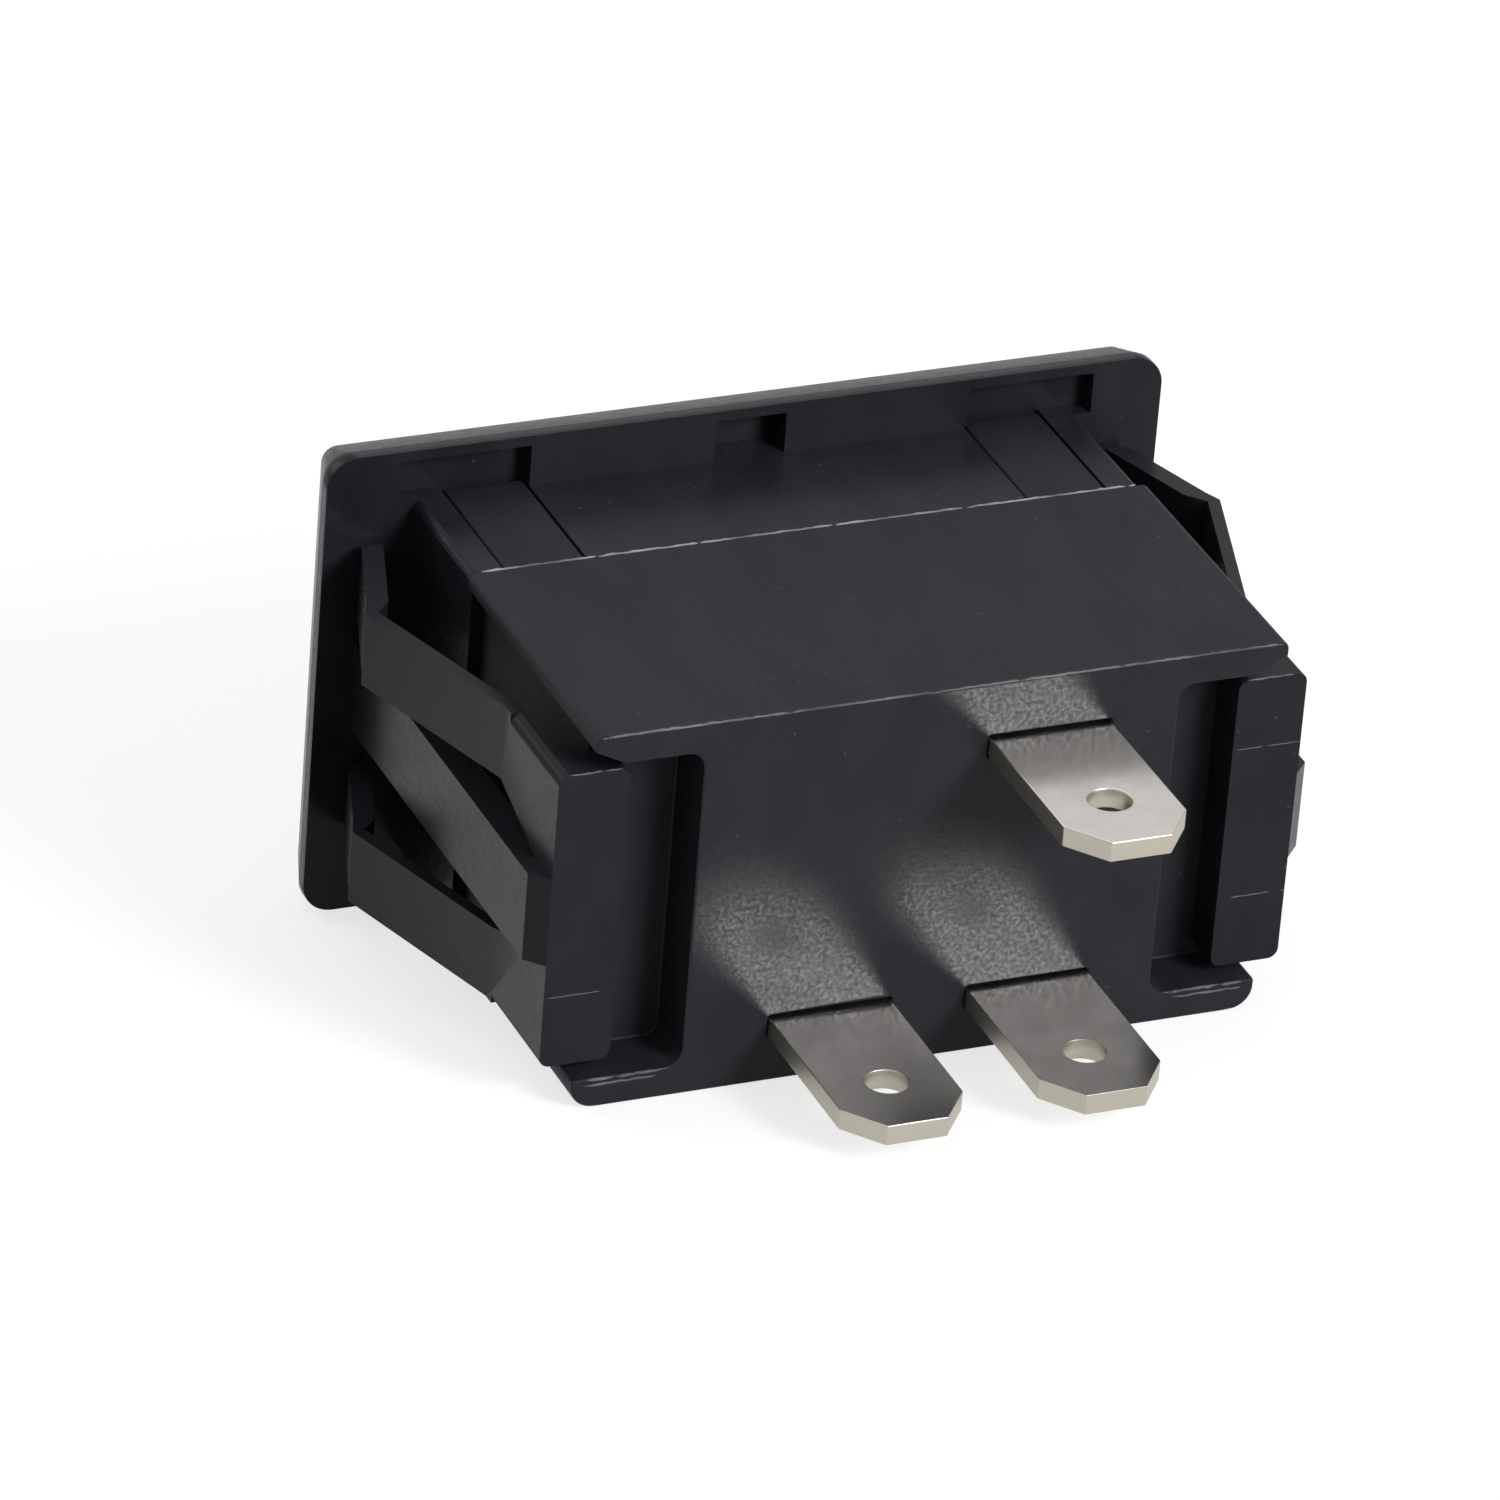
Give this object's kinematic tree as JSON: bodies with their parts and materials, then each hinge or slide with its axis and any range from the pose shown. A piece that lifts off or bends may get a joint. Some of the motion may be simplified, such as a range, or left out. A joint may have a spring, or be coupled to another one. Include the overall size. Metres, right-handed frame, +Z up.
{
  "type": "snap-in rocker switch",
  "caption": "Black snap-in panel rocker switch with a bezel, folded snap arms at both ends and plated spade terminals out of the back.",
  "frame": {"origin": "centre of the bezel's rear face, the face that seats on the panel", "axes": "+Y out of the back where the spade terminals are, +Z up, X along the bezel; the rocker faces -Y"},
  "size_m": [0.0338, 0.0316, 0.0188],
  "materials": {
    "frame_plastic": "moulded black nylon, satin",
    "base_plastic": "moulded black nylon, satin with a smooth back",
    "rocker_plastic": "moulded black nylon, fine texture",
    "plated_strip": "nickel-plated brass, satin",
    "copper_blade": "bare copper alloy",
    "contact_silver": "silver alloy",
    "plunger_acetal": "natural acetal",
    "spring_steel": "bright spring wire"
  },
  "bodies": {
    "housing": {"frame": "frame_plastic", "base": "base_plastic", "common_terminal": "plated_strip", "throw_terminal_a": "plated_strip", "throw_terminal_b": "plated_strip", "fixed_contact_a": "contact_silver", "fixed_contact_b": "contact_silver"},
    "rocker": {"rocker": "rocker_plastic", "plunger_spring": "spring_steel"},
    "plunger": {"plunger": "plunger_acetal"},
    "blade": {"contact_blade": "copper_blade", "moving_contact_a": "contact_silver", "moving_contact_b": "contact_silver"}
  },
  "joints": [
    {"name": "rocker_tilt", "type": "hinge", "parent": "housing", "child": "rocker", "pos_m": [0, 0.0004, 0], "axis": [0, 0, 1], "range_deg": [-12, 12]},
    {"name": "plunger_slide", "type": "slide", "parent": "rocker", "child": "plunger", "axis": [0, -1, 0], "range_m": [0, 0.0004], "stiffness_N_per_m": 600, "springref_m": -0.0025, "deforming": ["plunger_spring"]},
    {"name": "blade_tilt", "type": "hinge", "parent": "housing", "child": "blade", "pos_m": [0, 0.0149, 0], "axis": [0, 0, 1], "range_deg": [-9, 9]}
  ],
  "couplings": [
    {"joint": "blade_tilt", "follows": "rocker_tilt", "ratio": -0.75}
  ]
}
